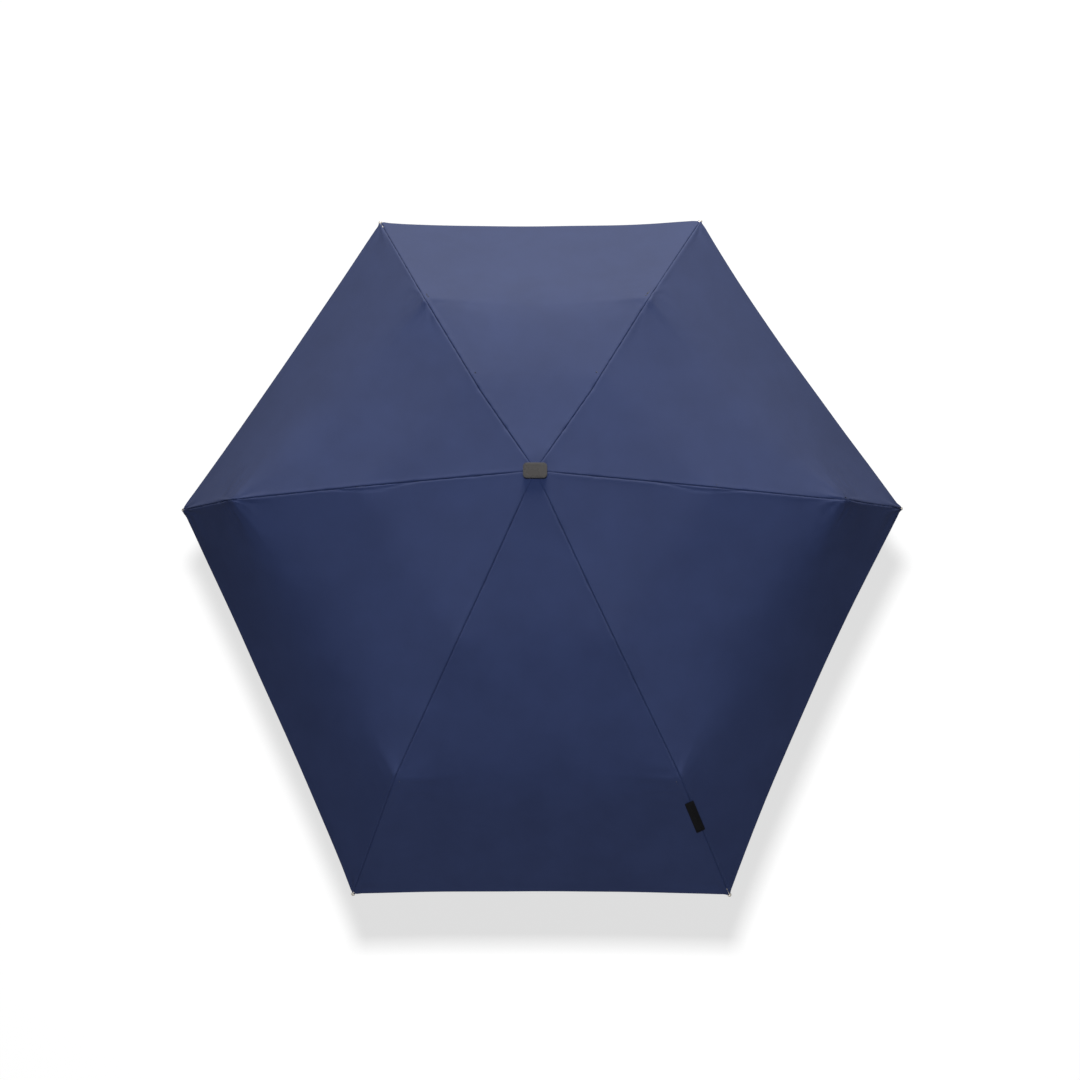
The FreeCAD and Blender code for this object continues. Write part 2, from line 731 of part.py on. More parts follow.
# ---- canopy ----

def polygon_face(points):
    return Part.Face(Part.makePolygon(points + points[:1]))


def faceted_panel(left_line, right_line):
    """A thin closed sheet over one gore, between two lines of points from the hub to the hem."""
    lift = FreeCAD.Vector(0, 0, cell("canopy_thickness"))
    faces = []
    for i in range(len(left_line) - 1):
        quad = [left_line[i], left_line[i + 1], right_line[i + 1], right_line[i]]
        for triangle in ([quad[0], quad[1], quad[2]], [quad[0], quad[2], quad[3]]):
            faces.append(polygon_face(triangle))
            faces.append(polygon_face([point + lift for point in triangle]))
    border = left_line + right_line[::-1]
    for start, end in zip(border, border[1:] + border[:1]):
        faces.append(polygon_face([start, end, end + lift, start + lift]))
    solid = Part.Solid(Part.makeShell(faces))
    solid.fix(tolerance, tolerance, tolerance)
    if solid.Volume < 0:
        solid.reverse()
    return solid


def canopy_line(rib, places):
    """The seam over a rib: hub, first hinge, second hinge and tip, lifted clear of the hinges."""
    kind = family(rib)
    lift = cell("canopy_lift")
    azimuth = math.radians(azimuth_sign(rib) * cell(f"{kind}_azimuth"))
    outward = FreeCAD.Vector(math.sin(azimuth), math.cos(azimuth), 0)
    slopes = [math.radians(cell("inner_slope")), math.radians(cell(f"{kind}_middle_slope")),
              math.radians(cell(f"{kind}_outer_slope"))]
    rise = cell("hinge_rise")
    joints = [places["inner"].multVec(FreeCAD.Vector(cell(f"{kind}_inner_length"), 0, 0)),
              places["middle"].multVec(FreeCAD.Vector(cell(f"{kind}_middle_length"), 0, -rise)),
              places["end"]]
    hub = outward * cell("canopy_hub_radius")
    hub.z = cell("crown_pivot_height") + cell("crown_top") + cell("canopy_hub_lift")
    line = [hub]
    for joint, before, after in zip(joints, slopes, slopes[1:] + slopes[-1:]):
        tilt = (before + after) / 2
        normal = outward * math.sin(tilt) + FreeCAD.Vector(0, 0, math.cos(tilt))
        line.append(joint + normal * (lift / math.cos((after - before) / 2)))
    return line


panel_names = ("front", "front_right", "rear_right", "rear", "rear_left", "front_left")


def make_canopy(places):
    lines = [canopy_line(rib, places[rib]) for rib in rib_names]
    for i, panel in enumerate(panel_names):
        name = f"canopy_{panel}"
        piece = doc.addObject("Part::Feature", name)
        piece.Shape = faceted_panel(lines[i], lines[(i + 1) % len(lines)])
        keep(piece, name, FreeCAD.Placement())


def make_label_tab(place):
    """A flat woven tab beside the rear right seam."""
    name = "label_tab"
    piece = doc.addObject("Part::Box", name)
    piece.setExpression("Length", "size.label_length")
    piece.setExpression("Width", "size.label_width")
    piece.setExpression("Height", "size.label_thickness")
    corner = FreeCAD.Vector(cell("label_distance") - cell("label_length") / 2,
                            -cell("label_width") - cell("label_gap"), cell("label_lift"))
    keep(piece, name, FreeCAD.Placement(place.multVec(corner), place.Rotation))


def make_ribs():
    places = {rib: rib_places(rib) for rib in rib_names}
    for rib in rib_names:
        make_inner_rib(rib, places[rib]["inner"])
        make_middle_rib(rib, places[rib]["middle"])
        make_outer_rib(rib, places[rib]["outer"])
        make_stretcher(rib, places[rib]["stretcher"])
    return places


def check_document():
    for item in doc.Objects:
        if "Invalid" in item.State or "Error" in item.State:
            raise RuntimeError(f"{item.Label}: {item.State}")
    for piece in nodes:
        if piece.Shape.isNull() or not piece.Shape.isValid():
            raise RuntimeError(f"{piece.Label}: shape is empty or not valid")
        if len(piece.Shape.Solids) != 1:
            raise RuntimeError(f"{piece.Label}: {len(piece.Shape.Solids)} solids")


def write_parts():
    os.makedirs("parts", exist_ok=True)
    for piece in nodes:
        piece.Shape.exportStep(f"parts/{piece.Label}.step")
        print(piece.Label, round(piece.Shape.Volume, 1))


make_shaft()
make_handle()
make_crown()
make_cap()
make_runner()
rib_layout = make_ribs()
make_canopy(rib_layout)
make_label_tab(rib_layout["rear_right"]["outer"])
doc.recompute()
check_document()
write_parts()
print("nodes", len(nodes))
print("stretcher reach", round(stretcher_reach, 2), "length", round(stretcher_length, 2))
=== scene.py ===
import json
import math

import bmesh
import bpy
import numpy as np
from mathutils import Matrix, Vector, noise


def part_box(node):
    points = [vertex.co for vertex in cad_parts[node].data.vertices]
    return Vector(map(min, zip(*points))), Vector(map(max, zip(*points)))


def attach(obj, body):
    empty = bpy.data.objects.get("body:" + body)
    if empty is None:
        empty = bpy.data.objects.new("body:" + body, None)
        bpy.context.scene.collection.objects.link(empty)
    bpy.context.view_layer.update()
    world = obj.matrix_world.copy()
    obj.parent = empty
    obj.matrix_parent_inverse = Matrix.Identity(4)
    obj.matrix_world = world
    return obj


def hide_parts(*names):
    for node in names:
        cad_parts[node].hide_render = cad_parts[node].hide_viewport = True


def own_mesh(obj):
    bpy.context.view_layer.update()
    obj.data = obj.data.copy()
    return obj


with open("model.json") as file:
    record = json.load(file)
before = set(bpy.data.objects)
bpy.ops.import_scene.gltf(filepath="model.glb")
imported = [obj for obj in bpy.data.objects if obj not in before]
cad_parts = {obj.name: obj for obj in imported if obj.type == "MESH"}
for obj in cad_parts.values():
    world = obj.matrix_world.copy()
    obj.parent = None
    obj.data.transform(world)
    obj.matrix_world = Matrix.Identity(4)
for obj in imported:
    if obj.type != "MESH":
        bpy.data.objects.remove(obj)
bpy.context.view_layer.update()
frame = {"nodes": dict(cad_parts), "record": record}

allJoints = {joint["name"]: joint for joint in frame["record"]["behaviour"]["joints"]}
ribNames = ["front_left", "front_right", "side_right", "rear_right", "rear_left", "side_left"]
panelNames = ["front", "front_right", "rear_right", "rear", "rear_left", "front_left"]
segmentNames = ["inner", "middle", "outer"]
up = Vector((0, 0, 1))
random = np.random.default_rng(7)


def newMaterial(name):
    material = bpy.data.materials.new(name)
    material.use_nodes = True
    tree = material.node_tree
    shader = tree.nodes["Principled BSDF"]
    return material, tree, shader


def addNode(tree, kind, **values):
    node = tree.nodes.new(kind)
    for key, value in values.items():
        if key in node.inputs:
            node.inputs[key].default_value = value
        else:
            setattr(node, key, value)
    return node


def addRamp(tree, source, stops):
    ramp = tree.nodes.new("ShaderNodeValToRGB")
    tree.links.new(source, ramp.inputs["Fac"])
    while len(ramp.color_ramp.elements) < len(stops):
        ramp.color_ramp.elements.new(0.5)
    for element, (place, colour) in zip(ramp.color_ramp.elements, stops):
        element.position = place
        element.color = (*colour, 1)
    return ramp.outputs["Color"]


def addBump(tree, shader, height, strength, distance):
    bump = addNode(tree, "ShaderNodeBump", Strength=strength, Distance=distance)
    tree.links.new(height, bump.inputs["Height"])
    tree.links.new(bump.outputs["Normal"], shader.inputs["Normal"])


def addRoughness(tree, shader, source, roughness, spread):
    low, high = (roughness - spread,) * 3, (roughness + spread,) * 3
    rough = addRamp(tree, source, [(0.3, low), (0.7, high)])
    tree.links.new(rough, shader.inputs["Roughness"])


def addHeights(tree, first, second, share):
    total = tree.nodes.new("ShaderNodeMath")
    total.operation = "MULTIPLY_ADD"
    tree.links.new(second, total.inputs[0])
    total.inputs[1].default_value = share
    tree.links.new(first, total.inputs[2])
    return total.outputs[0]


# warp and weft run along the piece's own UV map, which is in metres
clothLook = dict(dark=(0.0082, 0.0142, 0.0455), light=(0.0100, 0.0170, 0.0530), roughness=0.84,
                 gloss=0.60, waveScale=430.0, weaveDepth=0.00008, mottleScale=14.0, slubScale=900.0)


def clothMaterial(name, look):
    material, tree, shader = newMaterial(name)
    place = addNode(tree, "ShaderNodeTexCoord")
    warp = addNode(tree, "ShaderNodeTexWave", Scale=look["waveScale"], bands_direction="X")
    weft = addNode(tree, "ShaderNodeTexWave", Scale=look["waveScale"], bands_direction="Y")
    slub = addNode(tree, "ShaderNodeTexNoise", Scale=look["slubScale"], Detail=2.0)
    for texture in (warp, weft, slub):
        tree.links.new(place.outputs["UV"], texture.inputs["Vector"])
    weave = addHeights(tree, warp.outputs["Fac"], weft.outputs["Fac"], 1.0)
    weave = addHeights(tree, weave, slub.outputs["Fac"], 0.8)
    mottle = addNode(tree, "ShaderNodeTexNoise", Scale=look["mottleScale"], Detail=6.0, Roughness=0.7)
    tree.links.new(place.outputs["Object"], mottle.inputs["Vector"])
    colour = addRamp(tree, mottle.outputs["Fac"], [(0.35, look["dark"]), (0.65, look["light"])])
    tree.links.new(colour, shader.inputs["Base Color"])
    addBump(tree, shader, weave, 0.3, look["weaveDepth"])
    shader.inputs["Roughness"].default_value = look["roughness"]
    shader.inputs["Specular IOR Level"].default_value = look["gloss"]
    return material


def plasticMaterial(name, dark, light, roughness, grain=900.0, depth=0.00006, metallic=0.0):
    material, tree, shader = newMaterial(name)
    place = addNode(tree, "ShaderNodeTexCoord")
    fine = addNode(tree, "ShaderNodeTexNoise", Scale=grain, Detail=3.0, Roughness=0.6)
    broad = addNode(tree, "ShaderNodeTexNoise", Scale=grain / 30, Detail=4.0, Roughness=0.6)
    for texture in (fine, broad):
        tree.links.new(place.outputs["Object"], texture.inputs["Vector"])
    colour = addRamp(tree, broad.outputs["Fac"], [(0.35, dark), (0.65, light)])
    tree.links.new(colour, shader.inputs["Base Color"])
    addRoughness(tree, shader, broad.outputs["Fac"], roughness, 0.06)
    addBump(tree, shader, fine.outputs["Fac"], 0.4, depth)
    shader.inputs["Metallic"].default_value = metallic
    return material


def metalMaterial(name, colour, roughness, streak=(60.0, 60.0, 2200.0)):
    material, tree, shader = newMaterial(name)
    place = addNode(tree, "ShaderNodeTexCoord")
    stretch = addNode(tree, "ShaderNodeMapping", Scale=streak)
    brushed = addNode(tree, "ShaderNodeTexNoise", Scale=1.0, Detail=4.0, Roughness=0.65)
    tree.links.new(place.outputs["Object"], stretch.inputs["Vector"])
    tree.links.new(stretch.outputs["Vector"], brushed.inputs["Vector"])
    darker = tuple(0.8 * part for part in colour)
    tint = addRamp(tree, brushed.outputs["Fac"], [(0.3, darker), (0.7, colour)])
    tree.links.new(tint, shader.inputs["Base Color"])
    addRoughness(tree, shader, brushed.outputs["Fac"], roughness, 0.08)
    addBump(tree, shader, brushed.outputs["Fac"], 0.2, 0.00004)
    shader.inputs["Metallic"].default_value = 1.0
    return material


def ribbonMaterial(name, dark, light, ribsPerMetre):
    material, tree, shader = newMaterial(name)
    place = addNode(tree, "ShaderNodeTexCoord")
    ribs = addNode(tree, "ShaderNodeTexWave", Scale=ribsPerMetre / 20, bands_direction="Y")
    tree.links.new(place.outputs["UV"], ribs.inputs["Vector"])
    colour = addRamp(tree, ribs.outputs["Fac"], [(0.2, dark), (0.8, light)])
    tree.links.new(colour, shader.inputs["Base Color"])
    addBump(tree, shader, ribs.outputs["Fac"], 0.5, 0.0001)
    shader.inputs["Roughness"].default_value = 0.75
    shader.inputs["Specular IOR Level"].default_value = 0.15
    return material


navyCloth = clothMaterial("navy canopy cloth", clothLook)
tapeLook = dict(clothLook, dark=(0.006, 0.010, 0.032), light=(0.008, 0.013, 0.04))
navyTape = clothMaterial("navy seam tape", tapeLook)
navyThread = plasticMaterial("navy thread", (0.006, 0.009, 0.028), (0.009, 0.013, 0.036), 0.7, 2500.0, 0.0001)
blackPlastic = plasticMaterial("satin black plastic", (0.012, 0.012, 0.013), (0.019, 0.019, 0.020), 0.42)
capPaint = plasticMaterial("gunmetal cap paint", (0.045, 0.043, 0.042), (0.050, 0.048, 0.047), 0.30,
                           grain=1800.0, depth=0.00003, metallic=0.30)
buttonPaint = plasticMaterial("button plastic", (0.05, 0.05, 0.054), (0.07, 0.07, 0.075), 0.38)
gripRubber = plasticMaterial("soft grip", (0.010, 0.010, 0.011), (0.016, 0.016, 0.017), 0.6, 1400.0, 0.00012)
rodGlass = plasticMaterial("glass fibre rod", (0.016, 0.016, 0.018), (0.028, 0.028, 0.03), 0.32)
shaftMetal = metalMaterial("black enamelled tube", (0.06, 0.06, 0.064), 0.3)
ribMetal = metalMaterial("black anodised rib", (0.10, 0.10, 0.11), 0.38, (900.0, 900.0, 900.0))
wireMetal = metalMaterial("drawn wire", (0.55, 0.55, 0.56), 0.3)
tipMetal = plasticMaterial("plated tip", (0.46, 0.43, 0.38), (0.62, 0.58, 0.52), 0.3,
                           grain=1500.0, depth=0.00003, metallic=0.4)
tabWeave = ribbonMaterial("woven tab ribbon", (0.0025, 0.0025, 0.003), (0.006, 0.006, 0.0065), 5200.0)
print("materials made")

nodeLooks = {
    "lower_tube": shaftMetal, "mid_tube": shaftMetal, "top_tube": shaftMetal,
    "crown": blackPlastic, "crown_wire": wireMetal, "runner": blackPlastic, "runner_wire": wireMetal,
    "runner_button": buttonPaint, "button_spring": wireMetal, "handle_core": blackPlastic,
    "handle_base_cap": blackPlastic,
}
for rib in ribNames:
    nodeLooks[f"inner_rib_{rib}"] = ribMetal
    nodeLooks[f"middle_rib_{rib}"] = ribMetal
    nodeLooks[f"outer_rib_{rib}"] = rodGlass
    nodeLooks[f"stretcher_{rib}"] = shaftMetal
for node, material in nodeLooks.items():
    frame["nodes"][node].data.materials.clear()
    frame["nodes"][node].data.materials.append(material)
print("frame painted")


def startPiece(name):
    piece = bpy.context.object
    piece.name = name
    bpy.ops.object.transform_apply(location=True, rotation=True, scale=True)
    bpy.ops.object.mode_set(mode="EDIT")
    bpy.ops.mesh.select_mode(type="FACE")
    return piece


def finishPiece(piece, material, smoothAngle=40):
    bpy.ops.mesh.select_all(action="SELECT")
    bpy.ops.mesh.remove_doubles(threshold=0.000002)
    bpy.ops.mesh.normals_make_consistent(inside=False)
    bpy.ops.object.mode_set(mode="OBJECT")
    bpy.ops.object.shade_smooth_by_angle(angle=math.radians(smoothAngle))
    piece.data.materials.append(material)
    return piece


def selectFaces(piece, wanted):
    bpy.ops.mesh.select_all(action="DESELECT")
    mesh = bmesh.from_edit_mesh(piece.data)
    for face in mesh.faces:
        face.select = wanted(face)
    mesh.select_flush(True)
    bmesh.update_edit_mesh(piece.data)


def selectEdges(piece, wanted):
    bpy.ops.mesh.select_mode(type="EDGE")
    bpy.ops.mesh.select_all(action="DESELECT")
    mesh = bmesh.from_edit_mesh(piece.data)
    for edge in mesh.edges:
        edge.select = wanted(edge)
    mesh.select_flush_mode()
    bmesh.update_edit_mesh(piece.data)


# rings are (radius, height); a hollow piece comes back to its first ring
def turnedPiece(name, rings, sides, material, hollow=False):
    bpy.ops.object.select_all(action="DESELECT")
    radius, height = rings[0]
    bpy.ops.mesh.primitive_circle_add(vertices=sides, radius=radius, location=(0, 0, height),
                                      fill_type="NOTHING" if hollow else "NGON")
    piece = startPiece(name)
    bpy.ops.mesh.select_mode(type="EDGE")
    bpy.ops.mesh.select_all(action="SELECT")
    for nextRadius, nextHeight in rings[1:]:
        bpy.ops.mesh.extrude_region_move(TRANSFORM_OT_translate={"value": (0, 0, nextHeight - height)})
        share = nextRadius / radius
        bpy.ops.transform.resize(value=(share, share, 1), center_override=(0, 0, nextHeight))
        radius, height = nextRadius, nextHeight
    return finishPiece(piece, material)


def placedCopy(piece, name, place):
    copy = bpy.data.objects.new(name, piece.data.copy())
    copy.data.transform(place)
    bpy.context.scene.collection.objects.link(copy)
    return copy


def addPiece(piece, body, slotName, *nodes):
    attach(piece, body)
    if nodes:
        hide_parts(*nodes)


def ribLayout(rib):
    crownPivot = Vector(allJoints[f"inner_{rib}"]["pos_m"])
    firstPivot = Vector(allJoints[f"middle_{rib}"]["pos_m"])
    secondPivot = Vector(allJoints[f"outer_{rib}"]["pos_m"])
    tipMesh = frame["nodes"][f"rib_tip_{rib}"].data
    tipEnd = max((vertex.co for vertex in tipMesh.vertices), key=lambda co: (co - secondPivot).length)
    outward = Vector((crownPivot.x, crownPivot.y, 0)).normalized()
    away = Vector((outward.y, -outward.x, 0)) * (1 if outward.x * outward.y > 0 else -1)
    return dict(name=rib, crown=crownPivot, first=firstPivot, second=secondPivot, tip=Vector(tipEnd),
                outward=outward, away=away, family=rib.split("_")[0])


layouts = {rib: ribLayout(rib) for rib in ribNames}

canopy = dict(lift=0.0035, tipLift=0.0026, tipSetback=0.0045, hubRadius=0.0045, hubRise=0.0040,
              hingeRise=0.0017, shoulderReach=0.012, bend=0.0035, across=26, rows=(40, 44, 46),
              alongTension=0.085, passes=1400, thickness=0.0005, hubCut=0.0020, keep=(0.11, 0.085, 0.075),
              hemRows=(0.0062, 0.0056, 0.0012), hemDouble=0.0004, lineSteps=80, linePoints=600,
              grainSlope=0.3, leastSheet=0.0105, sheetSpare=1.05, leanLimit=60, leanSteps=241)
# how far each hem is drawn in at its middle, and how far each seam leaves its rib: (radius, offset)
hemSag = dict(front=0.0102, front_right=0.0110, rear_right=0.0150, rear=0.0046, rear_left=0.0072,
              front_left=0.0040, fullness=2.6)
seamBow = dict(front=[(0.0, 0.0), (0.113, 0.0055), (0.2425, 0.0040), (0.37, 0.0)],
               side=[(0.0, 0.0), (0.45, 0.0)],
               side_right=[(0.0, 0.0), (0.20, -0.0018), (0.330, -0.0024), (0.44, 0.0)],
               rear=[(0.0, 0.0), (0.142, 0.0010), (0.392, 0.0055), (0.55, 0.0)])
# where the thread ties pull the seam down to the rib, as radii
tieRadii = dict(front=(0.060, 0.118), side=(0.070, 0.142, 0.245), rear=(0.070, 0.142, 0.266))


def flatPoint(layout, point):
    return np.array([point.dot(layout["outward"]), point.z])


def unit(vector):
    return vector / np.linalg.norm(vector)


# the seam over a rib in the rib's own upright plane: hub, crown shoulder, both hinges and the tip
def seamCorners(layout):
    crown = flatPoint(layout, layout["crown"])
    first = flatPoint(layout, layout["first"])
    second = flatPoint(layout, layout["second"])
    tip = flatPoint(layout, layout["tip"])
    innerWay, middleWay, outerWay = unit(first - crown), unit(second - first), unit(tip - second)

    def above(way, height):
        return np.array([-way[1], way[0]]) * height

    hub = np.array([canopy["hubRadius"], crown[1] + canopy["hubRise"]])
    shoulder = crown + innerWay * canopy["shoulderReach"] + above(innerWay, canopy["lift"])
    firstCorner = first + above(unit(innerWay + middleWay), canopy["lift"] - canopy["hingeRise"])
    secondCorner = second + above(unit(middleWay + outerWay), canopy["lift"] + canopy["hingeRise"])
    end = tip - outerWay * canopy["tipSetback"] + above(outerWay, canopy["tipLift"])
    return [hub, shoulder, firstCorner, secondCorner, end]


def smoothLine(points, reach):
    fine = []
    steps = np.linspace(0, 1, canopy["lineSteps"], endpoint=False)
    for start, finish in zip(points[:-1], points[1:]):
        fine += [start + (finish - start) * share for share in steps]
    fine = np.array(fine + [points[-1]])
    travel = np.concatenate([[0], np.cumsum(np.linalg.norm(np.diff(fine, axis=0), axis=1))])
    even = np.linspace(0, travel[-1], canopy["linePoints"])
    line = np.stack([np.interp(even, travel, fine[:, axis]) for axis in (0, 1)], 1)
    half = int(3 * reach / (even[1] - even[0]))
    offsets = np.arange(-half, half + 1) * (even[1] - even[0])
    kernel = np.exp(-0.5 * (offsets / reach) ** 2)
    kernel /= kernel.sum()
    padded = np.concatenate([2 * line[0] - line[half:0:-1], line, 2 * line[-1] - line[-2:-half - 2:-1]])
    smooth = np.stack([np.convolve(padded[:, axis], kernel, "valid") for axis in (0, 1)], 1)
    return even, smooth


def seamStations(layout):
    corners = seamCorners(layout)
    travel, line = smoothLine(corners, canopy["bend"])
    marks = [0.0]
    for corner in corners[2:4]:
        marks.append(travel[np.argmin(np.linalg.norm(line - corner, axis=1))])
    marks.append(travel[-1])
    places = [0.0]
    for start, finish, count in zip(marks[:-1], marks[1:], canopy["rows"]):
        last = finish - canopy["hemRows"][0] if finish == marks[-1] else finish
        places += list(np.linspace(start, last, count + 1)[1:])
    places += [marks[-1] - gap for gap in canopy["hemRows"][1:]] + [marks[-1]]
    flat = np.stack([np.interp(places, travel, line[:, axis]) for axis in (0, 1)], 1)
    slope = np.gradient(line, axis=0)
    slope = np.stack([np.interp(places, travel, slope[:, axis]) for axis in (0, 1)], 1)
    outward = np.array(layout["outward"])
    radii, offsets = zip(*seamBow.get(layout["name"], seamBow[layout["family"]]))
    bow = np.interp(flat[:, 0], radii, offsets)[:, None] * np.array(layout["away"])
    points = flat[:, :1] * outward + flat[:, 1:] * np.array(up) + bow
    normals = -slope[:, 1:] * outward + slope[:, :1] * np.array(up)
    normals /= np.linalg.norm(normals, axis=1)[:, None]
    return dict(points=points, normals=normals, travel=np.array(places), radius=flat[:, 0])


seams = {rib: seamStations(layouts[rib]) for rib in ribNames}


# one gore as a stretched skin between two seams: pulled hard across, lightly along, with a drawn-in hem
def relaxedGore(panel, leftSeam, rightSeam):
    shares = np.linspace(0, 1, canopy["across"] + 1)[None, :, None]
    net = leftSeam[:, None] * (1 - shares) + rightSeam[:, None] * shares
    inward = net[-2] - net[-1]
    inward /= np.linalg.norm(inward, axis=1)[:, None]
    sag = hemSag[panel] * (1 - np.abs(2 * shares[0] - 1) ** hemSag["fullness"])
    hemRows = len(canopy["hemRows"])
    net[-hemRows - 1:] += inward * sag
    acrossLength = np.linalg.norm(np.diff(net, axis=1), axis=2)
    alongLength = np.linalg.norm(np.diff(net, axis=0), axis=2)
    columnWidth = np.pad(acrossLength, ((0, 0), (1, 1)), "edge")
    columnWidth = (columnWidth[:, 1:] + columnWidth[:, :-1]) / 2
    rowHeight = np.pad(alongLength, ((1, 1), (0, 0)), "constant")
    rowHeight = (rowHeight[1:] + rowHeight[:-1]) / 2
    acrossPull = (rowHeight[:, 1:] + rowHeight[:, :-1]) / 2 / acrossLength
    alongPull = canopy["alongTension"] * (columnWidth[1:] + columnWidth[:-1]) / 2 / alongLength
    pullLeft, pullRight = acrossPull[1:-1, :-1, None], acrossPull[1:-1, 1:, None]
    pullUp, pullDown = alongPull[:-1, 1:-1, None], alongPull[1:, 1:-1, None]
    total = pullLeft + pullRight + pullUp + pullDown
    for _ in range(canopy["passes"]):
        net[1:-1, 1:-1] = (pullLeft * net[1:-1, :-2] + pullRight * net[1:-1, 2:]
                           + pullUp * net[:-2, 1:-1] + pullDown * net[2:, 1:-1]) / total
    return net


# columns crowd together beside a seam, where the cloth folds under
seamFold = dict(steps=(0.0, 0.0006, 0.0013, 0.0022, 0.0034, 0.0050, 0.0075, 0.0110), between=22,
                fullWidth=0.040, depth=0.0015, width=0.0007, puff=(0.00026, 0.00012), puffPlace=0.0034,
                puffWidth=0.0020, shareReach=0.006)


def foldedColumns(net):
    steps = np.array(seamFold["steps"])
    rows = []
    places = []
    for line in net:
        travel = np.concatenate([[0], np.cumsum(np.linalg.norm(np.diff(line, axis=0), axis=1))])
        width = travel[-1]
        near = steps * min(1, width / seamFold["fullWidth"])
        middle = np.linspace(near[-1], width - near[-1], seamFold["between"] + 1)[1:-1]
        at = np.concatenate([near, middle, width - near[::-1]])
        rows.append(np.stack([np.interp(at, travel, line[:, axis]) for axis in range(3)], 1))
        places.append(at)
    return np.array(rows), np.array(places)


def netNormals(net):
    along = np.gradient(net, axis=0)
    across = np.gradient(net, axis=1)
    normal = np.cross(along, across)
    normal /= np.maximum(np.linalg.norm(normal, axis=2), 1e-12)[..., None]
    return normal * np.sign(normal[..., 2:].mean())


# small folds that spread like a fan from a point where the cloth is held
fan = dict(folds=15, reach=0.030, start=0.004, depth=dict(front=0.00070, side=0.00130, rear=0.00070),
           hingeTurn=1.3, tipTurn=2.1, tipShare=1.4)
# the crease between the flat and the steep part of a gore stands up sharply beside each outer hinge
crease = dict(height=dict(front=0.0022, side=0.0016, rear=0.0014), width=0.0036, reach=0.034, start=0.006,
              turn=0.10)
pucker = dict(depth=0.00022, reach=0.0045, pitch=0.010, scales=(1.0, 1.63, 0.71))
ripple = dict(depth=0.00070, size=0.085, calm=0.03)
tie = dict(depth=0.0011, width=0.0026)
# a pinch of spare cloth that lies along the rear side of each side seam, between two ties
pinch = dict(start=0.142, finish=0.245, offset=0.0046, depth=0.0009, width=0.0011, steepness=3)


def fanFolds(net, centre, depth, phase):
    offset = net - centre
    reach = np.linalg.norm(offset, axis=2)
    angle = np.arctan2(offset[..., 1], offset[..., 0])
    fade = np.exp(-reach / fan["reach"]) * reach / (reach + fan["start"])
    return depth * fade * np.sin(fan["folds"] * angle + phase)


def creaseRidge(net, rib, otherRib):
    layout, other = layouts[rib], layouts[otherRib]
    start = np.array(layout["second"])[:2]
    way = unit(np.array(other["second"])[:2] - start)
    inward = -np.array(layout["outward"])[:2]
    way = unit(way + crease["turn"] * inward)
    offset = net[..., :2] - start
    along = offset @ way
    beside = np.abs(offset @ np.array([-way[1], way[0]]))
    fade = np.exp(-along / crease["reach"]) * np.clip(along / crease["start"], 0, 1)
    return crease["height"][layout["family"]] * fade * np.exp(-(beside / crease["width"]) ** 2)


def seamRelief(side, rib, distance, radius):
    fold = -seamFold["depth"] * np.exp(-(distance / seamFold["width"]) ** 2)
    fromPuff = (distance - seamFold["puffPlace"]) / seamFold["puffWidth"]
    fold += seamFold["puff"][side] * np.exp(-fromPuff ** 2)
    phase = random.uniform(0, 2 * math.pi, 3)
    wander = sum(np.sin(radius * 2 * math.pi / (pucker["pitch"] * scale) + turn)
                 for scale, turn in zip(pucker["scales"], phase))
    fold += pucker["depth"] / 2 * wander * np.exp(-distance / pucker["reach"])
    family = layouts[rib]["family"]
    for tieRadius in tieRadii[family]:
        gap = np.hypot(distance, radius - tieRadius)
        fold -= tie["depth"] * np.exp(-(gap / tie["width"]) ** 2)
    onRearSide = (side == 0) == (rib == "side_right")
    if family == "side" and onRearSide:
        share = np.clip((radius - pinch["start"]) / (pinch["finish"] - pinch["start"]), 0, 1)
        bend = pinch["offset"] * np.sin(math.pi * share)
        inside = np.clip(np.sin(math.pi * share) * pinch["steepness"], 0, 1)
        fold -= pinch["depth"] * inside * np.exp(-((distance - bend) / pinch["width"]) ** 2)
    return fold


def wornNet(panel, leftRib, rightRib):
    net, places = foldedColumns(relaxedGore(panel, seams[leftRib]["points"], seams[rightRib]["points"]))
    normals = netNormals(net)
    width = places[:, -1:]
    gentle = np.minimum(1, width / seamFold["fullWidth"])
    lift = np.zeros(net.shape[:2])
    direction = normals.copy()
    for side, (rib, otherRib) in enumerate(((leftRib, rightRib), (rightRib, leftRib))):
        lift += creaseRidge(net, rib, otherRib)
        distance = places if side == 0 else width - places
        radius = np.broadcast_to(seams[rib]["radius"][:, None], distance.shape)
        lift += seamRelief(side, rib, distance, radius)
        share = np.clip(1 - distance / seamFold["shareReach"], 0, 1)[..., None]
        direction = direction * (1 - share) + seams[rib]["normals"][:, None] * share
        layout = layouts[rib]
        depth = fan["depth"][layout["family"]]
        lift += fanFolds(net, np.array(layout["second"]), depth, side * fan["hingeTurn"])
        lift += fanFolds(net, np.array(layout["tip"]), depth * fan["tipShare"], side * fan["tipTurn"])
    inland = np.minimum(1, np.minimum(places, width - places) / ripple["calm"])
    for row in range(net.shape[0]):
        for column in range(net.shape[1]):
            spot = Vector(net[row, column]) / ripple["size"]
            lift[row, column] += ripple["depth"] * noise.noise(spot) * inland[row, column]
    direction /= np.linalg.norm(direction, axis=2)[..., None]
    return net + direction * (lift * gentle)[..., None]


gores = {}
for number, panel in enumerate(panelNames):
    gores[panel] = wornNet(panel, ribNames[number], ribNames[(number + 1) % 6])
print("canopy relaxed")


def cutPlanes(rib):
    layout = layouts[rib]
    inner = (layout["first"] - layout["crown"]).normalized()
    middle = (layout["second"] - layout["first"]).normalized()
    outer = (layout["tip"] - layout["second"]).normalized()
    return [(layout["crown"] + inner * canopy["hubCut"], inner),
            (layout["first"], (inner + middle).normalized()),
            (layout["second"], (middle + outer).normalized())]


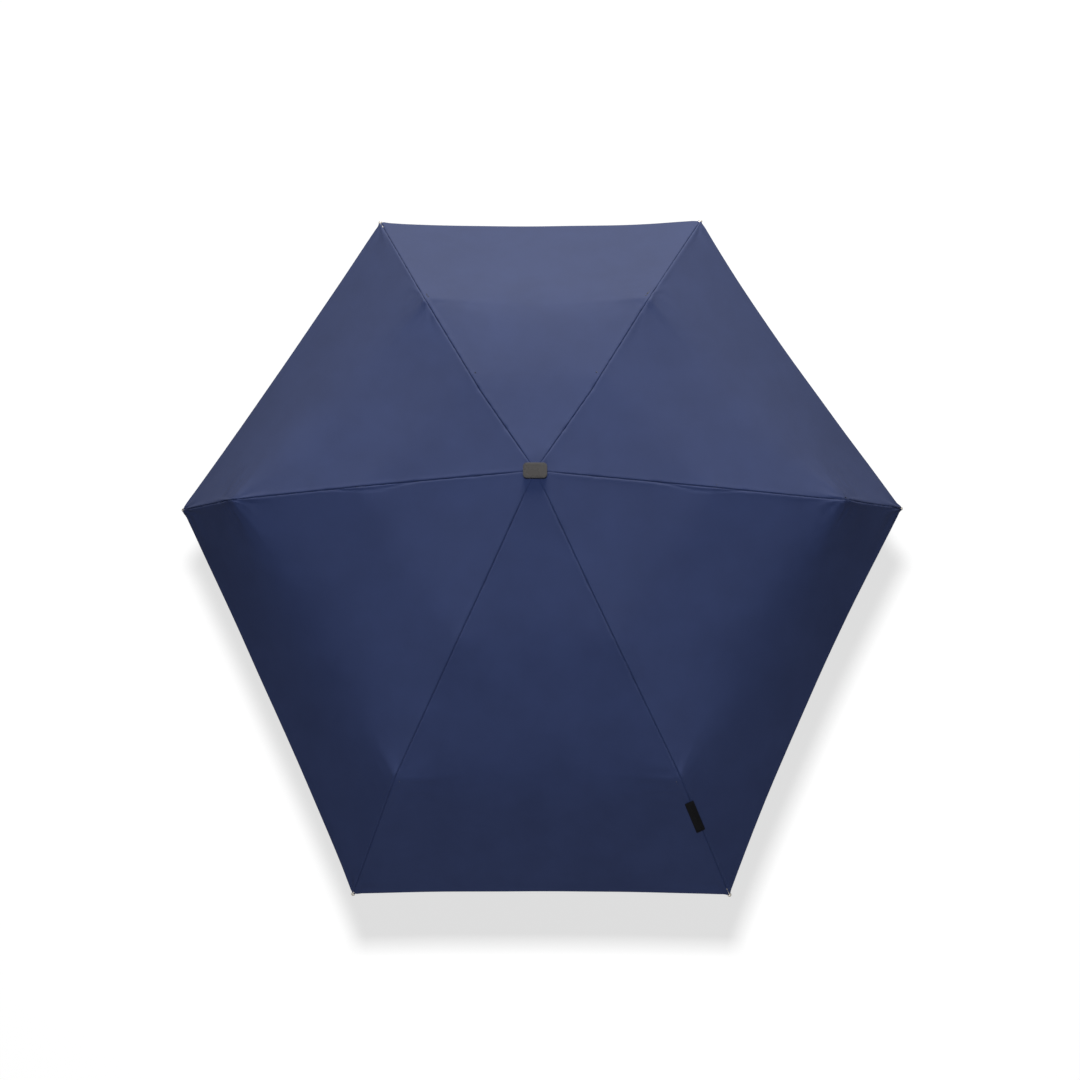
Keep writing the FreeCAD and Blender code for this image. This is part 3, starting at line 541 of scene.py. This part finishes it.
def bisect(mesh, faces, place, way):
    edges = {edge for face in faces for edge in face.edges}
    verts = {vert for face in faces for vert in face.verts}
    bmesh.ops.bisect_plane(mesh, geom=list(faces) + list(edges) + list(verts), dist=1e-6,
                           plane_co=place, plane_no=way)


# the gore is cut down its middle and across at each hinge, so that each piece rides on one rib segment
def goreMesh(panel, leftRib, rightRib):
    net = gores[panel]
    rows, columns = net.shape[:2]
    mesh = bmesh.new()
    doubled = mesh.verts.layers.float.new("doubled")
    grid = [[mesh.verts.new(net[row, column]) for column in range(columns)] for row in range(rows)]
    for line in grid[-len(canopy["hemRows"]):]:
        for vert in line:
            vert[doubled] = 1.0
    for row in range(rows - 1):
        for column in range(columns - 1):
            mesh.faces.new((grid[row][column], grid[row + 1][column],
                            grid[row + 1][column + 1], grid[row][column + 1]))
    middle = (layouts[leftRib]["outward"] + layouts[rightRib]["outward"]).normalized()
    across = up.cross(middle)
    bisect(mesh, list(mesh.faces), Vector((0, 0, 0)), across)
    for rib in (leftRib, rightRib):
        side = 1 if layouts[rib]["outward"].dot(across) > 0 else -1
        for place, way in cutPlanes(rib):
            half = [face for face in mesh.faces if face.calc_center_median().dot(across) * side > 0]
            bisect(mesh, half, place, way)
    mesh.normal_update()
    if sum(face.normal.z for face in mesh.faces) < 0:
        bmesh.ops.reverse_faces(mesh, faces=mesh.faces)
        mesh.normal_update()
    return mesh, middle, across


def segmentOf(centre, planes):
    for name, (place, way) in zip(["hub"] + segmentNames, planes):
        if (centre - place).dot(way) < 0:
            return name
    return "outer"


# a closed sheet: the faces above, the same below, and a wall round the edge; the hem is turned under
def clothPiece(name, faces, grain, doubled):
    order = {}
    for face in faces:
        for vert in face.verts:
            order.setdefault(vert, len(order))
    half = canopy["thickness"] / 2
    top = [vert.co + vert.normal * half for vert in order]
    bottom = [vert.co - vert.normal * (half + canopy["hemDouble"] * (vert[doubled] > 0.5)) for vert in order]
    count = len(order)
    polygons, kinds = [], []
    for face in faces:
        loop = [order[vert] for vert in face.verts]
        polygons.append(loop)
        polygons.append([index + count for index in reversed(loop)])
        kinds += [1, -1]
    inside = set(faces)
    for face in faces:
        for loop in face.loops:
            if sum(1 for other in loop.edge.link_faces if other in inside) == 1:
                start, finish = order[loop.vert], order[loop.link_loop_next.vert]
                polygons.append([finish, start, start + count, finish + count])
                kinds.append(0)
    data = bpy.data.meshes.new(name)
    data.from_pydata([tuple(co) for co in top + bottom], [], polygons)
    uvLayer = data.uv_layers.new(name="UVMap")
    alongGrain, acrossGrain = grain
    normals = [vert.normal.copy() for vert in order]
    cornerNormals = []
    for polygon, kind in zip(data.polygons, kinds):
        polygon.use_smooth = True
        for loopIndex in polygon.loop_indices:
            vertexIndex = data.loops[loopIndex].vertex_index
            co = data.vertices[vertexIndex].co
            uvLayer.data[loopIndex].uv = (co.dot(acrossGrain), co.dot(alongGrain))
            cornerNormals.append(normals[vertexIndex % count] * kind if kind else polygon.normal.copy())
    data.normals_split_custom_set(cornerNormals)
    data.materials.append(navyCloth)
    piece = bpy.data.objects.new(name, data)
    bpy.context.scene.collection.objects.link(piece)
    return piece, sum(face.calc_area() for face in faces)


def segmentWay(rib, segment):
    layout = layouts[rib]
    ends = {"inner": ("crown", "first"), "middle": ("first", "second"), "outer": ("second", "tip")}
    start, finish = ends[segment]
    return layout[start], (layout[finish] - layout[start]).normalized()


# each loose flap gets a mesh of its own; the way of its rib segment and the offsets of its faces from the
# segment's start are worked out but used for nothing more
def foldFlat(piece, rib, segment, faces):
    start, way = segmentWay(rib, segment)
    offsets = [face.calc_center_median() - start for face in faces]

    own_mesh(piece)


def makeCanopy():
    for number, panel in enumerate(panelNames):
        leftRib, rightRib = ribNames[number], ribNames[(number + 1) % 6]
        mesh, middle, across = goreMesh(panel, leftRib, rightRib)
        doubled = mesh.verts.layers.float["doubled"]
        leftSide = layouts[leftRib]["outward"].dot(across) > 0
        planes = {rib: cutPlanes(rib) for rib in (leftRib, rightRib)}
        grain = ((middle - up * canopy["grainSlope"]).normalized(), across)
        groups = {}
        for face in mesh.faces:
            centre = face.calc_center_median()
            rib = leftRib if (centre.dot(across) > 0) == leftSide else rightRib
            segment = segmentOf(centre, planes[rib])
            key = ("", "hub") if segment == "hub" else (rib + "_", segment)
            groups.setdefault(key, []).append(face)
        for (rib, segment), faces in groups.items():
            piece, area = clothPiece(f"cloth_{panel}_{rib}{segment}", faces, grain, doubled)
            body = "top_tube" if segment == "hub" else f"{segment}_rib_{rib[:-1]}"
            addPiece(piece, body, "canopy_fabric", f"canopy_{panel}")
            if segment != "hub":
                foldFlat(piece, rib[:-1], segment, faces)
        mesh.free()


makeCanopy()
print("canopy cut and placed")


# the seam allowance under the cloth, bound in tape and tied down to the rib with thread
seamTape = dict(halfWidth=0.0018, drop=0.0025, thickness=0.0005, spacing=0.006, flatWidth=0.0105,
                endGap=0.009, hingeGap=0.0005)


def makeTape(rib, segment, low, high):
    seam = seams[rib]
    count = max(4, int((high - low) / seamTape["spacing"]))
    places = np.linspace(low, high, count)
    centres = [Vector([np.interp(place, seam["travel"], seam["points"][:, axis]) for axis in range(3)])
               for place in places]
    normals = [Vector([np.interp(place, seam["travel"], seam["normals"][:, axis]) for axis in range(3)])
               for place in places]
    away = layouts[rib]["away"]
    data = bmesh.new()
    across = [-seamTape["halfWidth"], 0.0, seamTape["halfWidth"]]
    lines = []
    for centre, normal in zip(centres, normals):
        base = centre - normal * seamTape["drop"]
        lines.append([data.verts.new(base + away * offset) for offset in across])
    for before, after in zip(lines[:-1], lines[1:]):
        for column in range(len(across) - 1):
            data.faces.new((before[column], after[column], after[column + 1], before[column + 1]))
    bmesh.ops.recalc_face_normals(data, faces=data.faces)
    area = sum(face.calc_area() for face in data.faces)
    strip = bpy.data.meshes.new(f"seam_tape_{rib}_{segment}")
    data.to_mesh(strip)
    data.free()
    piece = bpy.data.objects.new(strip.name, strip)
    bpy.context.scene.collection.objects.link(piece)
    bpy.ops.object.select_all(action="DESELECT")
    bpy.context.view_layer.objects.active = piece
    piece.select_set(True)
    shell = piece.modifiers.new("thick", "SOLIDIFY")
    shell.thickness = seamTape["thickness"]
    bpy.ops.object.modifier_apply(modifier=shell.name)
    bpy.ops.object.shade_smooth_by_angle(angle=math.radians(40))
    strip.materials.append(navyTape)
    addPiece(piece, f"{segment}_rib_{rib}", "canopy_fabric")
    return piece, area


def makeTapes():
    for rib in ribNames:
        seam = seams[rib]
        marks = [0]
        layout = layouts[rib]
        for pivot in ("first", "second"):
            marks.append(int(np.argmin(np.abs(seam["radius"] - layout[pivot].dot(layout["outward"])))))
        marks.append(len(seam["travel"]) - 1)
        gap, endGap = seamTape["hingeGap"], seamTape["endGap"]
        starts = (endGap, gap, gap)
        ends = (gap, gap, endGap)
        for number, segment in enumerate(segmentNames):
            low = seam["travel"][marks[number]] + starts[number]
            high = seam["travel"][marks[number + 1]] - ends[number]
            piece, area = makeTape(rib, segment, low, high)


makeTapes()
print("seam tapes placed")


# thread loops round rib and tape, one at each tie
threadTie = dict(wire=0.0004, halfWidth=0.0024, halfHeight=0.0026, turns=3, pitch=0.0009, drop=0.0054)


def makeTies():
    bpy.ops.object.select_all(action="DESELECT")
    bpy.ops.mesh.primitive_torus_add(major_segments=20, minor_segments=6, major_radius=threadTie["halfWidth"],
                                     minor_radius=threadTie["wire"], rotation=(0, math.pi / 2, 0))
    loop = startPiece("thread_tie")
    stretch = threadTie["halfHeight"] / threadTie["halfWidth"]
    bpy.ops.mesh.select_all(action="SELECT")
    bpy.ops.transform.resize(value=(1, 1, stretch), center_override=(0, 0, 0))
    bpy.ops.transform.translate(value=(-threadTie["pitch"] * (threadTie["turns"] - 1) / 2, 0, 0))
    for _ in range(threadTie["turns"] - 1):
        bpy.ops.mesh.duplicate_move(TRANSFORM_OT_translate={"value": (threadTie["pitch"], 0, 0)})
    bpy.ops.mesh.select_all(action="SELECT")
    finishPiece(loop, navyThread)
    for rib in ribNames:
        seam, layout = seams[rib], layouts[rib]
        for number, radius in enumerate(tieRadii[layout["family"]]):
            row = int(np.argmin(np.abs(seam["radius"] - radius)))
            centre, normal = Vector(seam["points"][row]), Vector(seam["normals"][row])
            way = normal.cross(layout["away"]).normalized()
            side = normal.cross(way)
            place = Matrix((way, side, normal)).transposed().to_4x4()
            onRib = centre - layout["away"] * centre.dot(layout["away"])
            place.translation = onRib - normal * threadTie["drop"]
            segment = segmentOf(centre, cutPlanes(rib))
            piece = placedCopy(loop, f"thread_tie_{rib}_{number + 1}", place)
            addPiece(piece, f"{segment}_rib_{rib}", "canopy_fabric")
    bpy.data.objects.remove(loop)


makeTies()
print("seams tied to the ribs")


# rib tips: a plated sleeve with a collar, a waist and a round bead, from its sleeve end to its bead end
tipShape = dict(sides=20, rings=[(0.00120, 0.0), (0.00150, 0.0002), (0.00165, 0.0006), (0.00165, 0.0014),
                                 (0.00140, 0.0017), (0.00140, 0.0068), (0.00175, 0.0072), (0.00200, 0.0076),
                                 (0.00200, 0.0083), (0.00150, 0.0087), (0.00115, 0.0091), (0.00110, 0.0096),
                                 (0.00150, 0.0099), (0.00200, 0.0104), (0.00232, 0.0110), (0.00240, 0.0117),
                                 (0.00225, 0.0125), (0.00180, 0.0132), (0.00110, 0.0137), (0.00040, 0.01395)],
                nearEnd=0.002)


def makeTips():
    bead = turnedPiece("rib_tip", tipShape["rings"], tipShape["sides"], tipMetal)
    length = tipShape["rings"][-1][1]
    for rib in ribNames:
        verts = [vertex.co for vertex in frame["nodes"][f"rib_tip_{rib}"].data.vertices]
        centre = sum(verts, Vector()) / len(verts)
        start, way = segmentWay(rib, "outer")
        rod = frame["nodes"][f"outer_rib_{rib}"].data
        rodEnd = max((vertex.co for vertex in rod.vertices), key=lambda co: co.dot(way))
        rodVerts = [vertex.co for vertex in rod.vertices
                    if (rodEnd - vertex.co).dot(way) < tipShape["nearEnd"]]
        axis = sum(rodVerts, Vector()) / len(rodVerts)
        fromRod = centre - axis
        wayOut = fromRod.normalized() if fromRod.length > tipShape["nearEnd"] else way
        far = max(vertex.dot(wayOut) for vertex in verts)
        side = wayOut.cross(up).normalized()
        place = Matrix((side, wayOut.cross(side), wayOut)).transposed().to_4x4()
        place.translation = axis + wayOut * (far - axis.dot(wayOut) - length)
        piece = placedCopy(bead, f"tip_bead_{rib}", place)
        addPiece(piece, f"outer_rib_{rib}", "tip_metal", f"rib_tip_{rib}")
    bpy.data.objects.remove(bead)


makeTips()
print("rib tips placed")


# cap: a pillow-topped block with rounded corners; the pillow is three insets, each raised a little
capShape = dict(length=0.028, width=0.018, corner=0.0046, shoulder=0.0012, dome=0.0007,
                pillow=((0.0018, 0.0003), (0.0022, 0.00022), (0.0024, 0.00013)))


def makeCap():
    low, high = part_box("cap")
    centre = (Vector(low) + Vector(high)) / 2
    height = high[2] - low[2]
    bpy.ops.object.select_all(action="DESELECT")
    bpy.ops.mesh.primitive_cube_add(size=1, location=centre,
                                    scale=(capShape["length"], capShape["width"], height - capShape["dome"]))
    piece = startPiece("cap_block")
    middle = centre.z
    selectEdges(piece, lambda edge: abs(edge.verts[0].co.z - edge.verts[1].co.z) > height / 2)
    bpy.ops.mesh.bevel(offset=capShape["corner"], segments=7, profile=0.5)
    bpy.ops.mesh.select_mode(type="FACE")
    selectFaces(piece, lambda face: face.normal.z > 0.9 and face.calc_center_median().z > middle)
    bpy.ops.mesh.bevel(offset=capShape["shoulder"], segments=4, profile=0.55)
    selectFaces(piece, lambda face: face.normal.z > 0.98 and face.calc_center_median().z > middle)
    for inset, rise in capShape["pillow"]:
        bpy.ops.mesh.inset(thickness=inset)
        bpy.ops.transform.translate(value=(0, 0, rise))
    finishPiece(piece, capPaint, 50)
    addPiece(piece, "top_tube", "cap_finish", "cap")


makeCap()

# a soft washer under the cap presses the cloth to the crown
washer = dict(radius=0.0068, hole=0.0042, height=0.0009, lift=0.0002, rim=0.0003, sides=36)


def makeWasher():
    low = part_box("cap")[0]
    top = low[2] - washer["lift"]
    foot = top - washer["height"]
    flat = washer["radius"] - washer["rim"]
    rings = [(washer["hole"], foot), (flat, foot), (washer["radius"], top - washer["height"] / 2),
             (flat, top), (washer["hole"], top), (washer["hole"], foot)]
    piece = turnedPiece("cap_washer", rings, washer["sides"], blackPlastic, hollow=True)
    addPiece(piece, "top_tube", "black_plastic")


makeWasher()
print("cap placed")


# handle grip: a soft sleeve that swells to the foot, with fine finger grooves round its middle
grip = dict(inner=0.00965, foot=0.0152, waist=0.0132, shoulder=0.0126, top=0.0118, grooveDepth=0.00045,
            grooveStart=0.020, grooveEnd=0.050, grooves=8, sides=72, edge=0.0009, waistPlace=0.55,
            sideStart=0.0025, crownHeight=0.004, sideRings=75)


def gripRadius(share):
    waistPlace = grip["waistPlace"]
    if share < waistPlace:
        bend = 0.5 - 0.5 * math.cos(math.pi * share / waistPlace)
        return grip["foot"] + (grip["waist"] - grip["foot"]) * bend
    bend = 0.5 - 0.5 * math.cos(math.pi * (share - waistPlace) / (1 - waistPlace))
    return grip["waist"] + (grip["shoulder"] - grip["waist"]) * bend


def makeGrip():
    low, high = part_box("handle_grip")
    foot, top = low[2], high[2]
    rings = [(grip["inner"], foot), (grip["foot"] - grip["edge"], foot), (grip["foot"], foot + grip["edge"])]
    sideTop = top - grip["crownHeight"]
    for height in np.linspace(foot + grip["sideStart"], sideTop, grip["sideRings"]):
        radius = gripRadius((height - foot) / (top - foot))
        phase = (height - grip["grooveStart"]) / (grip["grooveEnd"] - grip["grooveStart"])
        if 0 < phase < 1:
            radius -= grip["grooveDepth"] * max(0, math.sin(2 * math.pi * grip["grooves"] * phase)) ** 0.5
        rings.append((radius, height))
    for turn in np.linspace(0.2, 1, 5) * math.pi / 2:
        rings.append((grip["top"] + (grip["shoulder"] - grip["top"]) * math.cos(turn),
                      sideTop + grip["crownHeight"] * math.sin(turn)))
    rings += [(grip["inner"], top), (grip["inner"], foot)]
    piece = turnedPiece("grip_sleeve", rings, grip["sides"], gripRubber, hollow=True)
    addPiece(piece, "handle", "grip_rubber", "handle_grip")


makeGrip()

# a moulded collar closes the top of the handle round the lowest tube
collar = dict(inner=0.0051, outer=0.0094, height=0.0016, lip=0.0063, sides=48, sink=0.0004, edge=0.0003,
              shoulder=(0.0012, 0.0008), root=(0.0008, 0.0009))


def makeCollar():
    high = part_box("handle_core")[1]
    base = high[2]
    seat, top = base - collar["sink"], base + collar["height"]
    inner, outer, lip, edge = collar["inner"], collar["outer"], collar["lip"], collar["edge"]
    (shoulderIn, shoulderUp), (rootOut, rootUp) = collar["shoulder"], collar["root"]
    rings = [(inner, seat), (outer, seat), (outer, base + edge), (outer - shoulderIn, base + shoulderUp),
             (lip + rootOut, base + rootUp), (lip, top - edge), (lip - edge, top), (inner, top),
             (inner, seat)]
    piece = turnedPiece("handle_collar", rings, collar["sides"], blackPlastic, hollow=True)
    addPiece(piece, "handle", "black_plastic")


makeCollar()
print("handle shaped")


# woven tab: a flattened loop of ribbon sewn into the rear right seam, lying on the rear panel
tab = dict(width=0.0112, thickness=0.0011, lift=0.0004, corner=0.0012, edge=0.0004, fold=0.0006,
           overSeam=0.0032, along=0.0040, lengthCuts=17, widthCuts=7, neighbours=6, blend=0.0005)


# height of the cloth under a point, from the nearest points of the gore
def surfaceHeight(panel, point):
    flat = gores[panel].reshape(-1, 3)
    gap = np.hypot(flat[:, 0] - point.x, flat[:, 1] - point.y)
    near = np.argsort(gap)[:tab["neighbours"]]
    weight = 1 / (gap[near] + tab["blend"]) ** 2
    return float((flat[near, 2] * weight).sum() / weight.sum())


def makeTab():
    node = frame["nodes"]["label_tab"].data
    start, way = segmentWay("rear_right", "outer")
    places = [(vertex.co - start).dot(way) for vertex in node.vertices]
    low, high = min(places), max(places)
    layout, seam = layouts["rear_right"], seams["rear_right"]
    width, length = tab["width"], high - low
    bpy.ops.object.select_all(action="DESELECT")
    bpy.ops.mesh.primitive_cube_add(size=1, scale=(length, width, tab["thickness"]))
    piece = startPiece("woven_tab")
    selectEdges(piece, lambda edge: abs(edge.verts[0].co.z - edge.verts[1].co.z) > tab["thickness"] / 2)
    bpy.ops.mesh.bevel(offset=tab["corner"], segments=3)
    selectEdges(piece, lambda edge: abs(edge.verts[0].co.z - edge.verts[1].co.z) < tab["thickness"] / 2)
    bpy.ops.mesh.bevel(offset=tab["edge"], segments=2)
    for cut in np.linspace(-0.5, 0.5, tab["lengthCuts"])[1:-1] * length:
        bpy.ops.mesh.select_all(action="SELECT")
        bpy.ops.mesh.bisect(plane_co=(cut, 0, 0), plane_no=(1, 0, 0))
    for cut in np.linspace(-0.5, 0.5, tab["widthCuts"])[1:-1] * width:
        bpy.ops.mesh.select_all(action="SELECT")
        bpy.ops.mesh.bisect(plane_co=(0, cut, 0), plane_no=(0, 1, 0))
    finishPiece(piece, tabWeave)
    uvLayer = piece.data.uv_layers.new(name="UVMap")
    for loop in piece.data.loops:
        co = piece.data.vertices[loop.vertex_index].co
        uvLayer.data[loop.index].uv = (co.x, co.y)
    flatWay = Vector((way.x, way.y, 0))
    upright = math.cos(math.atan(way.z / flatWay.length))
    for vertex in piece.data.vertices:
        along = (low + high) / 2 + tab["along"] + vertex.co.x
        point = start + way * along
        travel = np.interp(point.dot(layout["outward"]), seam["radius"], seam["travel"])
        edge = Vector([np.interp(travel, seam["travel"], seam["points"][:, axis]) for axis in range(3)])
        inward = width / 2 - vertex.co.y - tab["overSeam"]
        spot = edge - layout["away"] * inward
        bulge = tab["fold"] * (1 - (2 * vertex.co.x / length) ** 2)
        rise = tab["lift"] + tab["thickness"] / 2 + vertex.co.z + bulge
        vertex.co = Vector((spot.x, spot.y, surfaceHeight("rear", spot) + rise / upright))
    addPiece(piece, "outer_rib_rear_right", "label_weave", "label_tab")


makeTab()
print("tab sewn on")


studio = dict(floorSize=20.0, floorColour=0.27, floorGlow=0.70, worldStrength=0.12, middle=(0.0, -0.09, 0.45),
              keyPower=192.0, keyPlace=(0.12, 2.90, 1.60), keySize=1.5,
              backPower=19.0, backPlace=(0.0, -2.20, 2.56), backSize=1.0,
              topPower=198.0, topPlace=(0.056, 0.436, 4.05), topSize=0.28)
view = dict(distance=3.6, tiltBack=0.051, tiltSide=0.0345, target=(0.0018, -0.0745, 0.45), lens=101.47)


def makeFloor():
    bpy.ops.mesh.primitive_plane_add(size=studio["floorSize"], location=(0, 0, 0))
    floor = bpy.context.object
    floor.name = "floor"
    material, tree, shader = newMaterial("pale floor")
    shader.inputs["Base Color"].default_value = (*(studio["floorColour"],) * 3, 1)
    shader.inputs["Roughness"].default_value = 0.9
    shader.inputs["Emission Color"].default_value = (1, 1, 1, 1)
    shader.inputs["Emission Strength"].default_value = studio["floorGlow"]
    floor.data.materials.append(material)
    floor.visible_glossy = False
    return floor


def addLight(name, place, target, size, power):
    light = bpy.data.lights.new(name, "AREA")
    light.size = size
    light.energy = power
    lamp = bpy.data.objects.new(name, light)
    lamp.location = place
    lamp.rotation_euler = (Vector(target) - Vector(place)).to_track_quat("-Z", "Y").to_euler()
    lamp.visible_camera = False
    bpy.context.scene.collection.objects.link(lamp)
    return lamp


# the key and back lights skip the floor, so that it keeps only the soft shadow of the top light
def makeStudio(floor):
    world = bpy.data.worlds.new("studio")
    world.use_nodes = True
    world.node_tree.nodes["Background"].inputs["Color"].default_value = (1, 1, 1, 1)
    world.node_tree.nodes["Background"].inputs["Strength"].default_value = studio["worldStrength"]
    world.cycles_visibility.glossy = False
    bpy.context.scene.world = world
    bpy.context.scene.view_settings.view_transform = "Standard"
    key = addLight("key", studio["keyPlace"], studio["middle"], studio["keySize"], studio["keyPower"])
    back = addLight("back", studio["backPlace"], studio["middle"], studio["backSize"], studio["backPower"])
    top = addLight("top", studio["topPlace"], studio["middle"], studio["topSize"], studio["topPower"])
    top.visible_glossy = False
    unlit = bpy.data.collections.new("not lit by the key")
    unlit.objects.link(floor)
    unlit.collection_objects[0].light_linking.link_state = "EXCLUDE"
    for lamp in (key, back):
        lamp.light_linking.receiver_collection = unlit


def makeCamera():
    target = Vector(view["target"])
    way = Vector((view["tiltSide"], -view["tiltBack"], 1)).normalized()
    camera = bpy.data.objects.new("camera", bpy.data.cameras.new("camera"))
    camera.data.lens = view["lens"]
    camera.data.sensor_width = 36
    right = Vector((0, 1, 0)).cross(way).normalized()
    camera.matrix_world = Matrix((right, way.cross(right), way)).transposed().to_4x4()
    camera.location = target + way * view["distance"]
    bpy.context.scene.collection.objects.link(camera)
    bpy.context.scene.camera = camera


makeStudio(makeFloor())
makeCamera()
print("studio ready")
